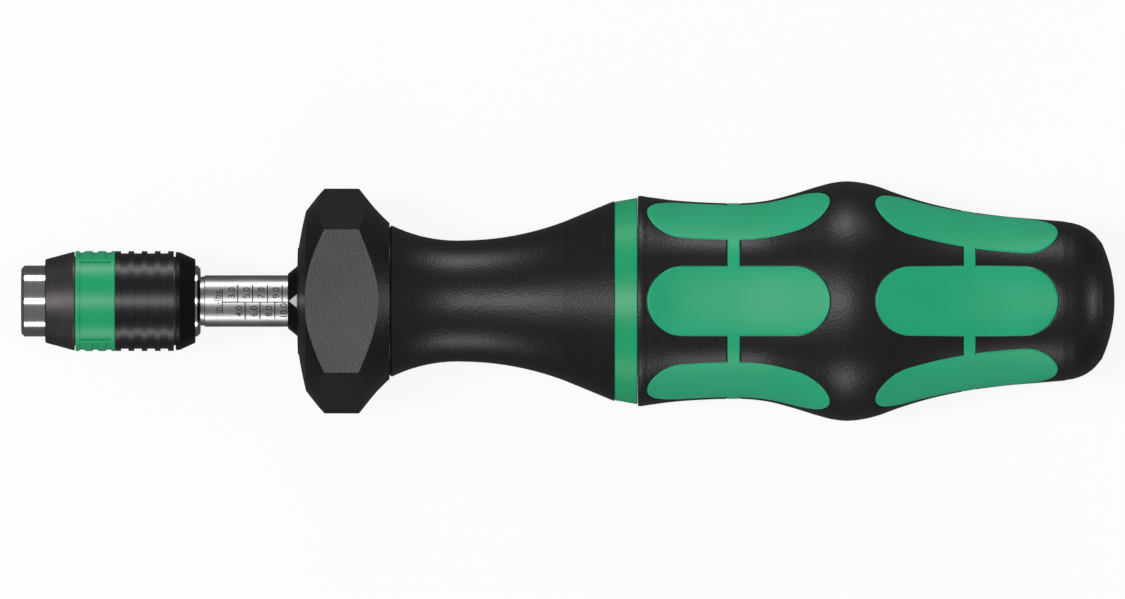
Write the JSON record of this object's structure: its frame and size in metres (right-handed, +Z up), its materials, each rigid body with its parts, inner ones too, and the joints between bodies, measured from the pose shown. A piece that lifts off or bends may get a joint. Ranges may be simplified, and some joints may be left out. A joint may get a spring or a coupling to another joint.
{
  "type": "torque screwdriver",
  "caption": "Adjustable torque screwdriver with a waisted two-colour handle, faceted collar, scale spindle and quick-release hexagon bit chuck.",
  "frame": {"origin": "centre of the bit socket's mouth, on the tool's axis", "axes": "+X along the tool's axis from the bit socket to the handle's end, +Z up through the collar's wide flat, with the tool lying on the collar's narrow flat and the handle's swell"},
  "size_m": [0.155, 0.034, 0.034],
  "materials": {
    "polished_steel": "turned and polished steel",
    "satin_steel": "ground steel with a fine turning lay",
    "burnished_steel": "browned steel, satin",
    "black_anodised": "black, satin",
    "black_moulded": "spark-eroded grain",
    "green_moulded": "smooth satin",
    "green_soft": "soft-touch moulded zone, satin",
    "black_rubber": "matt",
    "spring_steel": "drawn wire",
    "hardened_steel": "ground and hardened",
    "brass": "turned"
  },
  "bodies": {
    "housing": {"collar": "black_moulded", "guide_bush": "black_anodised", "neck_housing": "black_moulded", "front_spring_seat": "hardened_steel", "main_spring": "spring_steel", "separator_ring": "green_moulded", "friction_ring": "black_rubber", "handle_snap_ring": "spring_steel"},
    "handle": {"handle_core": "black_moulded", "front_grip_inlay": "green_soft", "rear_grip_inlay": "green_soft", "handle_insert": "hardened_steel"},
    "nut": {"setting_nut": "brass", "clutch_balls": "hardened_steel"},
    "spring_seat": {"rear_spring_seat": "hardened_steel", "thrust_washer": "hardened_steel"},
    "spindle": {"scale_spindle": "satin_steel", "bit_holder": "polished_steel", "driven_cam": "hardened_steel", "spindle_circlip": "spring_steel", "chuck_snap_ring": "spring_steel", "sleeve_spring": "spring_steel", "ejector_spring": "spring_steel"},
    "sleeve_washer": {"sleeve_thrust_washer": "hardened_steel"},
    "sleeve": {"sleeve_core": "burnished_steel", "sleeve_colour_ring": "green_moulded", "grip_sleeve": "black_moulded", "sleeve_rear_collar": "black_anodised"},
    "lock_ball": {"locking_ball": "polished_steel"},
    "ejector": {"ejector_plunger": "hardened_steel"}
  },
  "joints": [
    {"name": "setting_turn", "type": "hinge", "parent": "housing", "child": "handle", "pos_m": [0.0874, 0, 0], "axis": [1, 0, 0], "range_deg": [-540, 2700]},
    {"name": "nut_travel", "type": "slide", "parent": "handle", "child": "nut", "axis": [1, 0, 0], "range_m": [-0.00158, 0.00788]},
    {"name": "seat_travel", "type": "slide", "parent": "housing", "child": "spring_seat", "axis": [1, 0, 0], "range_m": [-0.00158, 0.00788], "deforming": ["main_spring"]},
    {"name": "clutch_slip", "type": "hinge", "parent": "nut", "child": "spindle", "pos_m": [0.085, 0, 0], "axis": [1, 0, 0], "continuous": true},
    {"name": "sleeve_slide", "type": "slide", "parent": "spindle", "child": "sleeve_washer", "axis": [-1, 0, 0], "range_m": [0, 0.0028], "stiffness_N_per_m": 1200, "springref_m": -0.003, "deforming": ["sleeve_spring"]},
    {"name": "sleeve_spin", "type": "hinge", "parent": "sleeve_washer", "child": "sleeve", "pos_m": [0.0118, 0, 0], "axis": [1, 0, 0], "continuous": true},
    {"name": "ball_lift", "type": "slide", "parent": "spindle", "child": "lock_ball", "axis": [0, 0, 1], "range_m": [0, 0.00055]},
    {"name": "bit_ejector", "type": "slide", "parent": "spindle", "child": "ejector", "axis": [1, 0, 0], "range_m": [0, 0.0025], "stiffness_N_per_m": 150, "springref_m": -0.003, "deforming": ["ejector_spring"]}
  ],
  "couplings": [
    {"joint": "nut_travel", "follows": "setting_turn", "m_per_rad": 0.00016711},
    {"joint": "seat_travel", "follows": "setting_turn", "m_per_rad": 0.00016711},
    {"joint": "ball_lift", "follows": "sleeve_slide", "ratio": 0.196}
  ]
}
